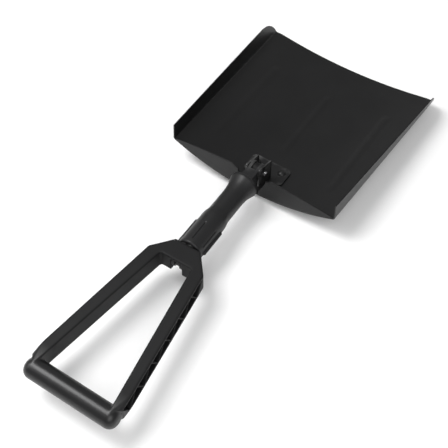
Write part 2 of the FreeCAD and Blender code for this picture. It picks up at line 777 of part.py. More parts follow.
def make_rivets(pan, bracket):
    """Dome rivets through foot plate and floor, with washers below; cuts their holes."""
    y = value(BLADE_PIN) + value("rivet_y")
    share = (y - blade_station(0)) / value("blade_length")
    radius = value("rivet_radius")
    head_radius = value("rivet_head_radius")
    head = value("rivet_head_height")
    depth = value("seat_depth")
    washer = value("washer_thickness")
    washer_shapes = []
    rivet_shapes = []
    holes = []

    def column(size, low, high):
        foot = FreeCAD.Vector(x, y, low)
        return Part.makeCylinder(size, high - low, foot, FreeCAD.Vector(0, 0, 1))

    for side in (1, -1):
        x = side * value("rivet_x")
        floor = floor_height(share, x)
        seat = floor + value("running") + value("plate")
        under = floor - value("blade_thickness")
        hole = column(radius, under - depth, seat + depth)
        holes.append(hole)
        # the dome is the cap of a sphere whose base is the head's circle
        ball_radius = (head_radius ** 2 + head ** 2) / (2 * head)
        ball = Part.makeSphere(ball_radius, FreeCAD.Vector(x, y, seat + head - ball_radius))
        cap = ball.common(column(2 * head_radius, seat, seat + head + PAST))
        # the head's seat and the washer's top follow the curved sheet
        dome = cap.fuse(column(head_radius, seat - depth, seat)).cut(bracket.Shape)
        shank = column(radius, under - 2 * washer, seat + depth)
        tail = column(value("rivet_tail_radius"), under - 2 * washer, under - washer)
        rivet_shapes.append(dome.fuse([shank, tail]).removeSplitter())
        disc = column(head_radius, under - washer, under + depth).cut(pan.Shape)
        low_half = column(2 * head_radius, under - 2 * washer, under + value("blade_thickness") / 2)
        washer_shapes.append(disc.common(low_half).cut(column(radius, under - 2 * washer, seat)))
    pan.Shape = pan.Shape.cut(holes)
    bracket.Shape = bracket.Shape.cut(holes)
    for label, shapes in (("bracket_rivets", rivet_shapes), ("rivet_washers", washer_shapes)):
        feature = doc.addObject("Part::Feature", label + "_shape")
        feature.Shape = Part.makeCompound(shapes)
        keep(feature, label)
    keep(pan, "blade_pan")
    keep(bracket, "hinge_bracket")


def make_blade():
    make_rivets(make_blade_pan(), make_bracket())
    side = "(knuckle_width / 2 + gap + plate)"
    washer_end = "(%s + pin_washer)" % side
    end = "(%s + pin_overhang)" % washer_end
    turned("blade_pivot_pin", "X", [[
        ("-(%s)" % end, "0"), ("-(%s)" % end, "pin_radius - pin_chamfer"),
        ("pin_chamfer - %s" % end, "pin_radius"), ("%s - pin_chamfer" % end, "pin_radius"),
        (end, "pin_radius - pin_chamfer"), (end, "0")]], BLADE_PIN)
    turned("pivot_washers", "X", mirrored_ring(side, washer_end, "pin_radius",
                                                "pin_radius + pin_washer_height"), BLADE_PIN)
    clip = "(%s + clip_thickness)" % washer_end
    turned("pivot_clips", "X", mirrored_ring(washer_end, clip, "pin_radius",
                                              "pin_radius + clip_height"), BLADE_PIN)


# D-handle: yoke, two trussed arms and the round grip bar


def round_edges(body, name, edges, radius):
    base = body.Tip
    feature = body.newObject("PartDesign::Fillet", name)
    feature.Base = (base, edges)
    feature.setExpression("Radius", bind(radius))
    return feature


def upright_edges(shape, height, places):
    """Names of the upright edges that stand at the given plan points."""
    names = []
    for number, edge in enumerate(shape.Edges, start=1):
        if abs(edge.BoundBox.ZLength - height) > TIGHT or edge.BoundBox.DiagonalLength > height + TIGHT:
            continue
        centre = edge.BoundBox.Center
        for x, y in places:
            if abs(abs(centre.x) - x) < CLOSE and abs(centre.y - y) < CLOSE:
                names.append("Edge%d" % number)
    return names


def rim_edges(shape, height, rear):
    """Names of the edges in the top and bottom faces that lie in front of the grip bar."""
    names = []
    for number, edge in enumerate(shape.Edges, start=1):
        box = edge.BoundBox
        if box.ZLength < TIGHT and abs(abs(box.ZMin) - height / 2) < TIGHT and box.Center.y > rear:
            names.append("Edge%d" % number)
    return names


def make_frame_outline(body):
    """Flat D frame with rounded corners and rims."""
    corner_y = GRIP_AXIS + " + grip_end_round"
    corner_x = "(outer_rear_width / 2 - grip_end_round)"
    outer = [("yoke_width / 2", "yoke_reach"), ("-yoke_width / 2", "yoke_reach"),
             ("-shoulder_width / 2", "-wall_offset"), ("-outer_rear_width / 2", corner_y),
             ("-" + corner_x, GRIP_AXIS), (corner_x, GRIP_AXIS),
             ("outer_rear_width / 2", corner_y), ("shoulder_width / 2", "-wall_offset")]
    pad(body, "frame", add_sketch(body, "frame_outline", "XY_Plane", [outer]), "handle_thickness")
    inner = [("opening_front_width / 2", "-wall_offset"), ("-opening_front_width / 2", "-wall_offset"),
             ("-opening_rear_width / 2", GRIP_AXIS + " - 1"),
             ("opening_rear_width / 2", GRIP_AXIS + " - 1")]
    pocket(body, "hand_opening", add_sketch(body, "opening_outline", "XY_Plane", [inner]),
           "2 * handle_thickness")
    doc.recompute()
    height = value("handle_thickness")
    spots = (
        ("shoulder_rounds", "shoulder_corner", (value("shoulder_width / 2"), value("-wall_offset"))),
        ("opening_rounds", "opening_corner", (value("opening_front_width / 2"), value("-wall_offset"))),
    )
    for name, radius, place in spots:
        edges = upright_edges(body.Shape, height, [place])
        round_edges(body, name, edges, radius)
        doc.recompute()
    rear = value(GRIP_AXIS + " + grip_end_round")
    round_edges(body, "rim_rounds", rim_edges(body.Shape, height, rear), "edge_round")
    doc.recompute()


def make_grip_bar(body):
    half = "(outer_rear_width / 2)"
    corner = "grip_end_round"
    axis_line = GRIP_AXIS
    surface = "(%s + grip_radius)" % axis_line
    shoulder = "(%s + grip_radius - %s)" % (axis_line, corner)
    profile = [[("-" + half, axis_line), (half, axis_line), (half, shoulder, corner, -1),
                ("%s - %s" % (half, corner), surface), ("-%s + %s" % (half, corner), surface, corner, -1),
                ("-" + half, shoulder)]]
    sketch = add_sketch(body, "grip_profile", "XY_Plane", profile)
    start = FreeCAD.Vector(-1, value(axis_line), 0)
    end = FreeCAD.Vector(1, value(axis_line), 0)
    line = sketch.addGeometry(Part.LineSegment(start, end), True)
    fix_point(sketch, line, 1, "-1", axis_line)
    fix_point(sketch, line, 2, "1", axis_line)
    revolve(body, "grip_bar", sketch, "Axis0")
    doc.recompute()


def make_yoke(body):
    half = "(tongue_width / 2 + gap)"
    roof = "(handle_thickness / 2 - yoke_web)"
    slot = [rectangle("-" + half, half, "-(wall_offset + 1)", "yoke_reach + 1")]
    sketch = add_sketch(body, "slot_outline", "XY_Plane", slot, offset=roof)
    pocket(body, "tongue_slot", sketch, "2 * handle_thickness", both_sides=False)
    # lower front corner rounded about the hinge pin, so that it swings past the collar
    low = "-(handle_thickness / 2)"
    foot_y = "sqrt(yoke_reach * yoke_reach - handle_thickness * handle_thickness / 4)"
    arc = [[(foot_y, low, "yoke_reach", -1), ("yoke_reach", "0"), ("yoke_reach + 2", "0"),
            ("yoke_reach + 2", low + " - 2"), (foot_y, low + " - 2")]]
    pocket(body, "swing_round", add_sketch(body, "swing_side", "YZ_Plane", arc), "2 * shoulder_width")
    pin = [("0", "0", "pin_radius")]
    pocket(body, "pin_bore", add_sketch(body, "pin_bore_side", "YZ_Plane", circles=pin),
           "2 * shoulder_width")
    seat = "(tongue_width / 2 + gap + cheek)"
    for name, backwards, offset in (("right_counterbore", True, seat), ("left_counterbore", False, "-" + seat)):
        wide = [("0", "0", "%s + counterbore_gap" % PIN_HEAD_RADIUS)]
        sketch = add_sketch(body, name + "_side", "YZ_Plane", circles=wide, offset=offset)
        pocket(body, name, sketch, "shoulder_width", both_sides=False, backwards=backwards)
    doc.recompute()


TRUSS_PERIOD = ("((opening_length + grip_radius - truss_start - truss_end)"
                " / (truss_count + 1))")


def truss_pocket(body, name, side, up, shift):
    """One triangular pocket in an arm's outer face, cut square to that face."""
    lean = "atan((outer_rear_width - shoulder_width) / 2 / (opening_length + grip_radius))"
    half_base = "(%s / 2 - truss_rib)" % TRUSS_PERIOD
    half_height = "(handle_thickness / 2 - truss_border)"
    middle = "(-(truss_start) - (%s))" % shift
    base = "-" + half_height if up else half_height
    tip = half_height if up else "-" + half_height
    tip_half = "(truss_rib / 2)"
    corners = [("%s - %s" % (middle, half_base), base), ("%s + %s" % (middle, half_base), base),
               ("%s + %s" % (middle, tip_half), tip), ("%s - %s" % (middle, tip_half), tip)]
    sketch = body.newObject("Sketcher::SketchObject", name + "_outline")
    sketch.AttachmentSupport = (origin_plane(body, "YZ_Plane"), [""])
    sketch.MapMode = "FlatFace"
    sketch.setExpression("AttachmentOffset.Base.x", bind("-wall_offset"))
    sketch.setExpression("AttachmentOffset.Base.z", bind("%d * shoulder_width / 2" % side))
    sketch.setExpression("AttachmentOffset.Rotation.Axis.x", "0")
    sketch.setExpression("AttachmentOffset.Rotation.Axis.y", "1")
    sketch.setExpression("AttachmentOffset.Rotation.Axis.z", "0")
    sketch.setExpression("AttachmentOffset.Rotation.Angle", bind("%d * %s" % (side, lean)))
    draw_loop(sketch, corners)
    return pocket(body, name, sketch, "2 * truss_depth"), sketch


def make_truss(body):
    rows = (("truss_down", False, "%s / 2" % TRUSS_PERIOD, "truss_count + 1"),
            ("truss_up", True, TRUSS_PERIOD, "truss_count"))
    for side, side_name in ((1, "right"), (-1, "left")):
        for name, up, shift, count in rows:
            feature, sketch = truss_pocket(body, "%s_%s" % (side_name, name), side, up, shift)
            doc.recompute()
            pattern = body.newObject("PartDesign::LinearPattern", "%s_%s_row" % (side_name, name))
            pattern.Originals = [feature]
            pattern.Direction = (sketch, ["H_Axis"])
            pattern.Reversed = True
            pattern.Mode = "Spacing"
            pattern.setExpression("Offset", bind(TRUSS_PERIOD))
            pattern.setExpression("Occurrences", bind(count))
            body.Tip = pattern
            doc.recompute()


def make_handle():
    body = new_body("d_handle")
    make_frame_outline(body)
    make_grip_bar(body)
    make_yoke(body)
    make_truss(body)
    keep(body, "d_handle")
    seat = "(tongue_width / 2 + gap + cheek)"
    head_end = "(%s + handle_pin_head)" % seat
    turned("handle_pivot_pin", "X", [[
        ("-%s" % head_end, "0"), (head_end, "0"), (head_end, "%s - head_chamfer" % PIN_HEAD_RADIUS),
        ("%s - head_chamfer" % head_end, PIN_HEAD_RADIUS), (seat, PIN_HEAD_RADIUS),
        (seat, "pin_radius"), ("-%s" % head_end, "pin_radius")]])
    turned("handle_pivot_nut", "X", [ring("-%s" % head_end, "-%s" % seat, "pin_radius",
                                          PIN_HEAD_RADIUS)])


def check_all():
    """Stop on any failed feature or any shape that isn't a sound solid."""
    for obj in doc.Objects:
        if "Invalid" in obj.State or "Error" in obj.State:
            raise RuntimeError("%s: %s" % (obj.Name, obj.getStatusString()))
    for part in parts:
        shape = part.Shape
        if shape.isNull() or not shape.isValid() or not shape.Solids:
            raise RuntimeError("%s has no sound shape" % part.Label)


make_neck()
make_collar_parts()
make_blade()
make_handle()
doc.recompute()
check_all()
os.makedirs("parts", exist_ok=True)
for part in parts:
    part.Shape.exportStep("parts/%s.step" % part.Label)
    print(part.Label, len(part.Shape.Solids), round(part.Shape.Volume))
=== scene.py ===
"""Camp shovel: finishes and pressed, moulded and turned pieces round the fixed frame."""

import json
import math

import bmesh
import bpy
from mathutils import Matrix, Vector


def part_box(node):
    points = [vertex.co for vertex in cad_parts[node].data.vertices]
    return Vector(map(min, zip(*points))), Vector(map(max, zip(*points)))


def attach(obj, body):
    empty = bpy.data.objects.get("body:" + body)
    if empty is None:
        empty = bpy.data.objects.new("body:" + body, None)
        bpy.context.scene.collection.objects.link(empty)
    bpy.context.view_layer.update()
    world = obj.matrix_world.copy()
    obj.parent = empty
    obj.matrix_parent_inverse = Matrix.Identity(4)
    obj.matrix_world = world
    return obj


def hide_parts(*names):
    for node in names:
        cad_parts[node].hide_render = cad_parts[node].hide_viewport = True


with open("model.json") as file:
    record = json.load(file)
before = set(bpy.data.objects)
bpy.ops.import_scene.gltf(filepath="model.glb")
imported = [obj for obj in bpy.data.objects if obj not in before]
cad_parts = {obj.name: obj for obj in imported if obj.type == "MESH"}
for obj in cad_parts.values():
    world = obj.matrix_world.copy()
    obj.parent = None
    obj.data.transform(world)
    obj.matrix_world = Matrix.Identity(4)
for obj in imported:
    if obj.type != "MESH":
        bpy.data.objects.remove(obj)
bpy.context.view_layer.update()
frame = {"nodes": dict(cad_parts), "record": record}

MM = 0.001

# Places read from the frame
JOINT_AT = {joint["name"]: Vector(joint["pos_m"]) for joint in frame["record"]["behaviour"]["joints"]
            if "pos_m" in joint}
BLADE_PIN = JOINT_AT["blade_fold"]
HANDLE_PIN = JOINT_AT["handle_fold"]
NECK_HEIGHT = BLADE_PIN.z
BLADE_LOW, BLADE_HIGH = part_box("blade_pan")
BLADE_REAR = BLADE_LOW.y
BLADE_FRONT = BLADE_HIGH.y
COLLAR_LOW, COLLAR_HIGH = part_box("locking_collar")
GRIP_AXIS_Y = HANDLE_PIN.y - 203.9 * MM

# Blade sheet, in metres, heights measured down from the neck axis
SHEET = 1.5 * MM
REAR_WIDTH = 239.0 * MM
FRONT_WIDTH = 255.4 * MM
REAR_SAG = 28.0 * MM
FRONT_SAG = 12.5 * MM
REAR_DROP = 32.14 * MM
FRONT_DROP = 40.74 * MM
FLANGE_WIDTH = 0.0249
FLANGE_BEND = math.radians(66)
FOLD_RADIUS = 3.2 * MM
FLANGE_CORNER = 36.0 * MM
CORNER_ZONE = 1.6 * FLANGE_CORNER
WALL_CREST = 9.6 * MM
WALL_END_TRIM = 3.0 * MM
NOTCH_HALF = 15.5 * MM
NOTCH_FLARE = 5.0 * MM
NOTCH_CORNER_DROP = 5 * MM
NOTCH_CORNER_RUN = 9 * MM
SHEET_BEVEL = 0.45 * MM
WALL_BEVEL = 0.4 * MM
BEVEL_ANGLE = math.radians(50)
SHARP_ANGLE = math.radians(32)
FULL_FLANGE = FLANGE_WIDTH - FOLD_RADIUS * math.tan(FLANGE_BEND / 2)


# Node groups shared by the finishes


def new_group(name, inputs, outputs):
    """A shader node group with float or vector sockets and its two end nodes."""
    group = bpy.data.node_groups.new(name, "ShaderNodeTree")
    for label, default in inputs:
        socket = group.interface.new_socket(name=label, in_out="INPUT", socket_type="NodeSocketFloat")
        socket.default_value = default
    for label in outputs:
        group.interface.new_socket(name=label, in_out="OUTPUT", socket_type="NodeSocketFloat")
    return group, group.nodes.new("NodeGroupInput"), group.nodes.new("NodeGroupOutput")


def add_node(tree, kind, settings=(), links=()):
    """One node with its settings as (name or socket, value) and its links as (socket, output)."""
    node = tree.nodes.new(kind)
    for name, number in settings:
        if isinstance(name, int) or name in node.inputs:
            node.inputs[name].default_value = number
        else:
            setattr(node, name, number)
    for name, output in links:
        tree.links.new(output, node.inputs[name])
    return node


def fine_grain_group():
    """Fine moulded or sprayed grain: a height and a slow tone change."""
    group, ins, outs = new_group("Fine grain", [("Scale", 900.0), ("Patch Scale", 14.0)],
                                 ["Height", "Patches"])
    place = add_node(group, "ShaderNodeTexCoord")
    specks = add_node(group, "ShaderNodeTexNoise", [("Detail", 3.0), ("Roughness", 0.55)],
                      [("Vector", place.outputs["Object"]), ("Scale", ins.outputs["Scale"])])
    cells = add_node(group, "ShaderNodeTexVoronoi", [("feature", "SMOOTH_F1")],
                     [("Vector", place.outputs["Object"]), ("Scale", ins.outputs["Scale"])])
    both = add_node(group, "ShaderNodeMath", [("operation", "MULTIPLY_ADD"), (1, 0.5)],
                    [(0, cells.outputs["Distance"]), (2, specks.outputs["Fac"])])
    patches = add_node(group, "ShaderNodeTexNoise", [("Detail", 4.0), ("Roughness", 0.6)],
                       [("Vector", place.outputs["Object"]), ("Scale", ins.outputs["Patch Scale"])])
    group.links.new(both.outputs[0], outs.inputs["Height"])
    group.links.new(patches.outputs["Fac"], outs.inputs["Patches"])
    return group


def painted_edge_highlight_group():
    """Painted edge highlight: convex corners made lighter, broken up by noise."""
    group, ins, outs = new_group("Painted edge highlight", [("Start", 0.54), ("End", 0.66), ("Breakup", 60.0)], ["Mask"])
    geometry = add_node(group, "ShaderNodeNewGeometry")
    place = add_node(group, "ShaderNodeTexCoord")
    noise = add_node(group, "ShaderNodeTexNoise", [("Detail", 5.0)],
                     [("Vector", place.outputs["Object"]), ("Scale", ins.outputs["Breakup"])])
    corner = add_node(group, "ShaderNodeMapRange", [("interpolation_type", "SMOOTHSTEP")],
                      [("Value", geometry.outputs["Pointiness"]), ("From Min", ins.outputs["Start"]),
                       ("From Max", ins.outputs["End"])])
    broken = add_node(group, "ShaderNodeMapRange", [("From Min", 0.38), ("From Max", 0.62)],
                      [("Value", noise.outputs["Fac"])])
    mask = add_node(group, "ShaderNodeMath", [("operation", "MULTIPLY")],
                    [(0, corner.outputs["Result"]), (1, broken.outputs["Result"])])
    group.links.new(mask.outputs[0], outs.inputs["Mask"])
    return group


def handling_group():
    """Faint scuffs drawn along the shovel and cloudy handling marks."""
    group, ins, outs = new_group("Handling marks", [("Scuff Scale", 70.0), ("Cloud Scale", 9.0)],
                                 ["Scuffs", "Clouds"])
    place = add_node(group, "ShaderNodeTexCoord")
    drawn = add_node(group, "ShaderNodeMapping", [("Scale", (1.0, 0.06, 1.0))],
                     [("Vector", place.outputs["Object"])])
    lines = add_node(group, "ShaderNodeTexNoise", [("Detail", 6.0), ("Roughness", 0.7)],
                     [("Vector", drawn.outputs["Vector"]), ("Scale", ins.outputs["Scuff Scale"])])
    thin = add_node(group, "ShaderNodeMapRange", [("From Min", 0.62), ("From Max", 0.74)],
                    [("Value", lines.outputs["Fac"])])
    clouds = add_node(group, "ShaderNodeTexNoise", [("Detail", 3.0), ("Roughness", 0.5)],
                      [("Vector", place.outputs["Object"]), ("Scale", ins.outputs["Cloud Scale"])])
    group.links.new(thin.outputs["Result"], outs.inputs["Scuffs"])
    group.links.new(clouds.outputs["Fac"], outs.inputs["Clouds"])
    return group


FINE_GRAIN = fine_grain_group()
PAINTED_EDGE_HIGHLIGHT = painted_edge_highlight_group()
HANDLING = handling_group()


def use_group(tree, group, **values):
    """One use of a node group; an underscore in a name stands for a space."""
    node = tree.nodes.new("ShaderNodeGroup")
    node.node_tree = group
    for name, number in values.items():
        node.inputs[name.replace("_", " ")].default_value = number
    return node


def mixed_towards(tree, colour, mask, wear_and_highlight):
    """The colour where the mask is 0 and the second colour where it is 1."""
    mix = tree.nodes.new("ShaderNodeMix")
    mix.data_type = "RGBA"
    mix.inputs["B"].default_value = (*wear_and_highlight, 1)
    tree.links.new(colour, mix.inputs["A"])
    tree.links.new(mask, mix.inputs["Factor"])
    return mix.outputs["Result"]


def two_colours(tree, mask, dark, light):
    """Colour that runs from dark to light as the mask goes from 0 to 1."""
    mix = tree.nodes.new("ShaderNodeMix")
    mix.data_type = "RGBA"
    mix.inputs["A"].default_value = (*dark, 1)
    mix.inputs["B"].default_value = (*light, 1)
    tree.links.new(mask, mix.inputs["Factor"])
    return mix.outputs["Result"]


def span(tree, mask, low, high, from_low=0.0, from_high=1.0):
    """The mask's range mapped onto low to high."""
    node = add_node(tree, "ShaderNodeMapRange",
                    [("From Min", from_low), ("From Max", from_high), ("To Min", low), ("To Max", high)],
                    [("Value", mask)])
    return node.outputs["Result"]


TONE_FLOOR = 0.001
BUMP_STRENGTH = 0.6


def finish_material(name, base, wear_and_highlight, roughness, grain, patch=14.0, bump=0.02, painted_highlight_span=(0.54, 0.66),
                    metallic=0.0, specular=0.5, scuff=0.08, tone=0.25, smooth_zone=None):
    """One surface finish.  roughness is (low, high); grain is the texture's cells per metre.

    smooth_zone is (start, end, roughness, specular): behind the start the surface is smoothed by wear.
    """
    material = bpy.data.materials.new(name)
    material.use_nodes = True
    tree = material.node_tree
    shader = tree.nodes["Principled BSDF"]
    shader.inputs["Metallic"].default_value = metallic
    shader.inputs["Specular IOR Level"].default_value = specular
    grains = use_group(tree, FINE_GRAIN, Scale=grain, Patch_Scale=patch)
    edges = use_group(tree, PAINTED_EDGE_HIGHLIGHT, Start=painted_highlight_span[0], End=painted_highlight_span[1])
    marks = use_group(tree, HANDLING)
    lighter = tuple(channel * (1 + tone) + TONE_FLOOR for channel in base)
    toned = two_colours(tree, span(tree, grains.outputs["Patches"], 0, 1, 0.35, 0.65), base, lighter)
    # Convex edges are mixed towards the second colour: a painted edge highlight. The same colour also
    # marks the scuffs below, which are wear.
    edge_lit = mixed_towards(tree, toned, edges.outputs["Mask"], wear_and_highlight)
    scuffed = mixed_towards(tree, edge_lit, span(tree, marks.outputs["Scuffs"], 0, scuff), wear_and_highlight)
    tree.links.new(scuffed, shader.inputs["Base Color"])
    rough = span(tree, marks.outputs["Clouds"], roughness[0], roughness[1], 0.3, 0.7)
    if smooth_zone:
        start, end, smooth_roughness, smooth_specular = smooth_zone
        place = add_node(tree, "ShaderNodeTexCoord")
        parts = add_node(tree, "ShaderNodeSeparateXYZ", [], [("Vector", place.outputs["Object"])])
        smooth = span(tree, parts.outputs["Y"], 1, 0, start, end)
        blend = add_node(tree, "ShaderNodeMix", [("B", smooth_roughness)],
                         [("Factor", smooth), ("A", rough)])
        rough = blend.outputs["Result"]
        tree.links.new(span(tree, smooth, specular, smooth_specular), shader.inputs["Specular IOR Level"])
    tree.links.new(rough, shader.inputs["Roughness"])
    relief = add_node(tree, "ShaderNodeBump", [("Strength", BUMP_STRENGTH), ("Distance", bump * MM)],
                      [("Height", grains.outputs["Height"])])
    tree.links.new(relief.outputs["Normal"], shader.inputs["Normal"])
    return material


# Each finish: base colour, then the colour used for painted edge highlights and scuff wear, then roughness
# and grain.
FINISHES = {
    "blade_steel": finish_material("Black powder coat", (0.0042, 0.0042, 0.0044), (0.03, 0.03, 0.03),
                                   (0.31, 0.36), 1400.0, bump=0.02, scuff=0.06, painted_highlight_span=(0.56, 0.7),
                                   specular=0.33),
    "bracket_steel": finish_material("Satin black paint", (0.004, 0.004, 0.0042), (0.07, 0.07, 0.07),
                                     (0.34, 0.44), 1600.0, bump=0.02, specular=0.35),
    "bare_steel": finish_material("Turned steel", (0.42, 0.42, 0.43), (0.6, 0.6, 0.6), (0.22, 0.34),
                                  2200.0, bump=0.01, metallic=1.0),
    "knuckle_metal": finish_material("Black cast metal", (0.005, 0.005, 0.0054), (0.05, 0.05, 0.05),
                                     (0.42, 0.52), 700.0, bump=0.08, specular=0.35),
    "bronze": finish_material("Sintered bronze", (0.36, 0.24, 0.11), (0.5, 0.36, 0.2), (0.4, 0.5),
                              1500.0, metallic=1.0),
    "tube_aluminium": finish_material("Black anodised tube", (0.02, 0.02, 0.021), (0.3, 0.3, 0.3),
                                      (0.3, 0.38), 2000.0, metallic=0.9),
    "collar_nylon": finish_material("Smooth nylon", (0.005, 0.005, 0.0054), (0.04, 0.04, 0.04),
                                    (0.38, 0.46), 1100.0, bump=0.02, specular=0.4),
    "handle_nylon": finish_material("Grained nylon", (0.0045, 0.0045, 0.0048), (0.06, 0.06, 0.06),
                                    (0.52, 0.62), 1300.0, bump=0.05, specular=0.22,
                                    smooth_zone=(GRIP_AXIS_Y + 8 * MM, GRIP_AXIS_Y + 26 * MM, 0.34, 0.42)),
    # The rear wall is the same sheet with the blade's powder coat. This second copy is duller, with less
    # sheen, so the wall reads darker: painted shade.
    "rear_wall": finish_material("Rear wall coat, shaded copy", (0.006, 0.006, 0.0062), (0.03, 0.03, 0.03),
                                 (0.42, 0.5), 1400.0, bump=0.02, scuff=0.06, specular=0.25),
    # The cam carries the bracket's black paint. This copy is matt, with little sheen and darker edges, so
    # it reads as shade between the ears: painted shade.
    "cam_painted_shade": finish_material("Cam paint, shaded copy", (0.004, 0.004, 0.0042), (0.02, 0.02, 0.02), (0.75, 0.85), 1600.0,
                           bump=0.02, specular=0.15),
    "wiper_rubber": finish_material("Matt rubber", (0.008, 0.008, 0.008), (0.03, 0.03, 0.03),
                                    (0.7, 0.85), 600.0, bump=0.04),
}


def give_finish(piece, slot_name):
    """The finish replaces whatever the piece had."""
    piece.data.materials.clear()
    piece.data.materials.append(FINISHES[slot_name])


def dress_frame():
    """Every carried-over piece takes its slot's finish and smooth shading."""
    for row in frame["record"]["subparts"]:
        give_finish(frame["nodes"][row["node"]], row["material_slot"])
    # The cam takes the matt copy of the bracket paint: painted shade.
    give_finish(frame["nodes"]["blade_cam"], "cam_painted_shade")
    for node in frame["nodes"].values():
        for face in node.data.polygons:
            face.use_smooth = True
        add_modifier(node, "EDGE_SPLIT", split_angle=SHARP_ANGLE)


# Blade


def floor_shape(share):
    """(half width, sag, drop) of the floor, from its rear (0) to its front (1)."""
    half = (REAR_WIDTH + share * (FRONT_WIDTH - REAR_WIDTH)) / 2
    return half, REAR_SAG + share * (FRONT_SAG - REAR_SAG), REAR_DROP + share * (FRONT_DROP - REAR_DROP)


BEADS = (
    # middle x, first y and last y from the blade pin
    (-88 * MM, 32 * MM, 208 * MM),
    (0.0, 67 * MM, 205 * MM),
    (88 * MM, 32 * MM, 208 * MM),
)
BEAD_HALF_WIDTH = 8.0 * MM
BEAD_HEIGHT = 0.75 * MM
BEAD_RUNOUT = 14 * MM


def ease(number):
    number = min(max(number, 0.0), 1.0)
    return number * number * (3 - 2 * number)


def bead_lift(x, y):
    """How far the pressed beads stand above the floor."""
    lift = 0.0
    for middle, first, last in BEADS:
        across = 1 - abs(x - middle) / BEAD_HALF_WIDTH
        along = min((y - first) / BEAD_RUNOUT, (last - y) / BEAD_RUNOUT)
        lift = max(lift, BEAD_HEIGHT * ease(across) * ease(along))
    return lift


def section_point(share, distance):
    """Point and normal of the upper face; distance runs across the sheet from its middle."""
    half, sag, drop = floor_shape(share)
    radius = (half * half + sag * sag) / (2 * sag)
    fold_angle = math.asin(half / radius)
    shorter = FOLD_RADIUS * math.tan(FLANGE_BEND / 2)
    arc_length = radius * fold_angle - shorter
    side = 1 if distance >= 0 else -1
    run = abs(distance)
    centre_z = NECK_HEIGHT - drop + radius
    if run <= arc_length:
        angle = run / radius
        x, z = radius * math.sin(angle), centre_z - radius * math.cos(angle)
        return side * x, z, angle
    angle = arc_length / radius
    x, z = radius * math.sin(angle), centre_z - radius * math.cos(angle)
    run -= arc_length
    bend = min(run / FOLD_RADIUS, FLANGE_BEND)
    centre = (x - FOLD_RADIUS * math.sin(angle), z + FOLD_RADIUS * math.cos(angle))
    turned = angle + bend
    x = centre[0] + FOLD_RADIUS * math.sin(turned)
    z = centre[1] - FOLD_RADIUS * math.cos(turned)
    run -= FOLD_RADIUS * bend
    if run > 0:
        x += run * math.cos(turned)
        z += run * math.sin(turned)
    return side * x, z, turned


def cross_lengths(share):
    """Distances across half the section to the ends of floor, bend and flange."""
    half, sag, _ = floor_shape(share)
    radius = (half * half + sag * sag) / (2 * sag)
    shorter = FOLD_RADIUS * math.tan(FLANGE_BEND / 2)
    floor_end = radius * math.asin(half / radius) - shorter
    bend_end = floor_end + FOLD_RADIUS * FLANGE_BEND
    return floor_end, bend_end, bend_end + FULL_FLANGE


FLOOR_STEPS = 120
BEND_STEPS = 8
FLANGE_STEPS = 10
LENGTH_STEPS = 120
CORNER_STEPS = 30
WALL_STEPS = 60
WALL_LAYERS = 12


def corner_end(height):
    """Where the sheet ends along the blade, at one height up the flange's face."""
    above = height - (FULL_FLANGE - FLANGE_CORNER)
    if above <= 0:
        return BLADE_FRONT
    return BLADE_FRONT - FLANGE_CORNER + math.sqrt(max(FLANGE_CORNER ** 2 - above ** 2, 0))


def drawn_back(y, height):
    """A station moved back so that the last one lies on the flange's rounded corner."""
    zone = BLADE_FRONT - CORNER_ZONE
    if y <= zone:
        return y
    return zone + (y - zone) * (corner_end(height) - zone) / (BLADE_FRONT - zone)


def blade_stations():
    """Stations along the blade, closer together round the flange's front corner."""
    rear_steps = LENGTH_STEPS - CORNER_STEPS
    corner_share = CORNER_ZONE / (BLADE_FRONT - BLADE_REAR)
    rear = [i / rear_steps * (1 - corner_share) for i in range(rear_steps)]
    front = [1 - corner_share + corner_share * i / CORNER_STEPS for i in range(CORNER_STEPS + 1)]
    return rear + front


def place_across(y, part, step):
    """(share along the blade, distance across the sheet, end of the bend) at one station."""
    share = (y - BLADE_REAR) / (BLADE_FRONT - BLADE_REAR)
    floor_end, bend_end, flange_end = cross_lengths(share)
    start, end = {"floor": (0, floor_end), "bend": (floor_end, bend_end),
                  "flange": (bend_end, flange_end)}[part]
    return share, start + (end - start) * step, bend_end


def sheet_point(y, part, step, side):
    """A point on the upper face.  part is floor, bend or flange; step runs from 0 to 1 across it."""
    _, distance, bend_end = place_across(y, part, step)
    y = drawn_back(y, distance - bend_end)
    share, distance, _ = place_across(y, part, step)
    x, z, _ = section_point(share, side * distance)
    return x, y, z + bead_lift(x, y - BLADE_PIN.y)


def pressed_sheet():
    """Floor, bends and flanges as one grid of points on the upper face."""
    mesh = bmesh.new()
    half_row = [("floor", i / FLOOR_STEPS) for i in range(FLOOR_STEPS)]
    half_row += [("bend", i / BEND_STEPS) for i in range(BEND_STEPS)]
    half_row += [("flange", i / FLANGE_STEPS) for i in range(FLANGE_STEPS + 1)]
    across = [(part, step, -1) for part, step in reversed(half_row[1:])]
    across += [(part, step, 1) for part, step in half_row]
    rows = []
    for share in blade_stations():
        y = BLADE_REAR + share * (BLADE_FRONT - BLADE_REAR)
        rows.append([mesh.verts.new(sheet_point(y, *place)) for place in across])
    for near, far in zip(rows, rows[1:]):
        for i in range(len(near) - 1):
            mesh.faces.new((near[i], near[i + 1], far[i + 1], far[i]))
    return mesh


def mesh_object(name, mesh, smooth=True):
    data = bpy.data.meshes.new(name)
    mesh.to_mesh(data)
    mesh.free()
    piece = bpy.data.objects.new(name, data)
    bpy.context.scene.collection.objects.link(piece)
    for face in data.polygons:
        face.use_smooth = smooth
    return piece


def add_modifier(piece, kind, **settings):
    modifier = piece.modifiers.new(kind.title(), kind)
    for name, number in settings.items():
        setattr(modifier, name, number)
    return modifier


